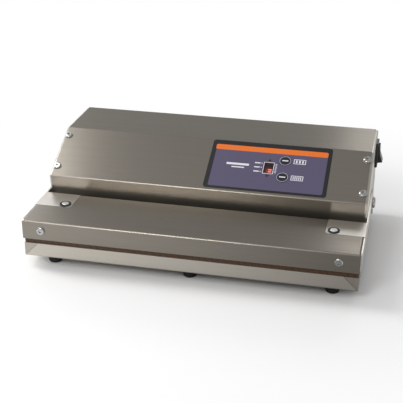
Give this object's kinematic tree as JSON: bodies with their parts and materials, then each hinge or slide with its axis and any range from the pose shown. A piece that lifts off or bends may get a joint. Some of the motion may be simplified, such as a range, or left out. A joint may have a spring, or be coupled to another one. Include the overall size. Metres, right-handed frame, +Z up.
{
  "type": "vacuum packing machine",
  "caption": "Bench vacuum packing machine: stainless base with a sealing bar and trough, hinged lid, sloped control panel and side rocker switch.",
  "frame": {"origin": "on the bench under the middle of the machine", "axes": "+Z up, -Y towards the user, +X to the user's right"},
  "size_m": [0.467, 0.2847, 0.1358],
  "materials": {
    "stainless": "brushed",
    "fastener_steel": "polished",
    "black_rubber": "matte",
    "gasket_rubber": "matte",
    "bar_phenolic": "matte",
    "bar_tape": "satin",
    "band_metal": "satin",
    "silicone": "matte",
    "insert_plastic": "matte",
    "panel_film": "satin",
    "display_plastic": "gloss",
    "key_plastic": "satin",
    "switch_plastic": "satin",
    "board_laminate": "satin",
    "component_plastic": "matte",
    "brass": "satin",
    "zinc_steel": "satin",
    "motor_paint": "satin",
    "cast_alloy": "cast",
    "core_steel": "satin",
    "coil_winding": "gloss",
    "wire_jacket": "matte"
  },
  "bodies": {
    "base": {"base_pan": "stainless", "corner_gussets": "stainless", "deck_plate": "stainless", "vacuum_trough": "stainless", "housing_cover": "stainless", "side_panel_left": "stainless", "side_panel_right": "stainless", "rear_panel": "stainless", "cover_screws": "fastener_steel", "rear_screws": "fastener_steel", "pivot_bolts": "fastener_steel", "pivot_nuts": "fastener_steel", "stop_studs": "fastener_steel", "foot_screws": "fastener_steel", "inlet_pins": "fastener_steel", "rubber_feet": "black_rubber", "pump_mounts": "black_rubber", "lower_gasket": "gasket_rubber", "sealing_bar": "bar_phenolic", "bar_tape": "bar_tape", "heating_band": "band_metal", "chamber_hose": "silicone", "pump_hose": "silicone", "membrane_panel": "panel_film", "display_window": "display_plastic", "display_module": "display_plastic", "switch_body": "switch_plastic", "power_inlet": "switch_plastic", "fuse_holder": "switch_plastic", "fuse_cap": "switch_plastic", "control_board": "board_laminate", "board_parts": "component_plastic", "board_spacers": "brass", "solenoid_valve": "brass", "pump_plate": "zinc_steel", "motor_cradle": "zinc_steel", "motor_bearings": "zinc_steel", "motor_body": "motor_paint", "pump_crankcase": "cast_alloy", "pump_head": "cast_alloy", "transformer_core": "core_steel", "transformer_coil": "coil_winding", "valve_coil": "coil_winding", "wiring_loom": "wire_jacket"},
    "lid": {"lid_cover": "stainless", "lid_insert": "insert_plastic", "upper_gasket": "gasket_rubber", "pressure_strip": "silicone", "hinge_arm_left": "stainless", "hinge_arm_right": "stainless", "pivot_bushes": "brass", "lid_studs": "fastener_steel", "stud_grommets": "black_rubber", "lid_front_screws": "fastener_steel"},
    "rotor": {"motor_shaft": "fastener_steel", "motor_rotor": "core_steel", "cooling_fan": "switch_plastic"},
    "rocker": {"switch_rocker": "switch_plastic"},
    "vacuum_key_body": {"vacuum_key": "key_plastic"},
    "seal_key_body": {"seal_key": "key_plastic"}
  },
  "joints": [
    {"name": "lid_hinge", "type": "hinge", "parent": "base", "child": "lid", "pos_m": [0, 0.05, 0.058], "axis": [-1, 0, 0], "range_deg": [0, 60]},
    {"name": "power_rocker", "type": "hinge", "parent": "base", "child": "rocker", "pos_m": [0.2266, 0.102, 0.113], "axis": [0, 1, 0], "range_deg": [0, 22]},
    {"name": "vacuum_key_press", "type": "slide", "parent": "base", "child": "vacuum_key_body", "axis": [0, 0.454, -0.891], "range_m": [0, 0.0004], "stiffness_N_per_m": 900},
    {"name": "seal_key_press", "type": "slide", "parent": "base", "child": "seal_key_body", "axis": [0, 0.454, -0.891], "range_m": [0, 0.0004], "stiffness_N_per_m": 900},
    {"name": "motor_spin", "type": "hinge", "parent": "base", "child": "rotor", "pos_m": [0, 0.082, 0.064], "axis": [1, 0, 0], "continuous": true}
  ]
}
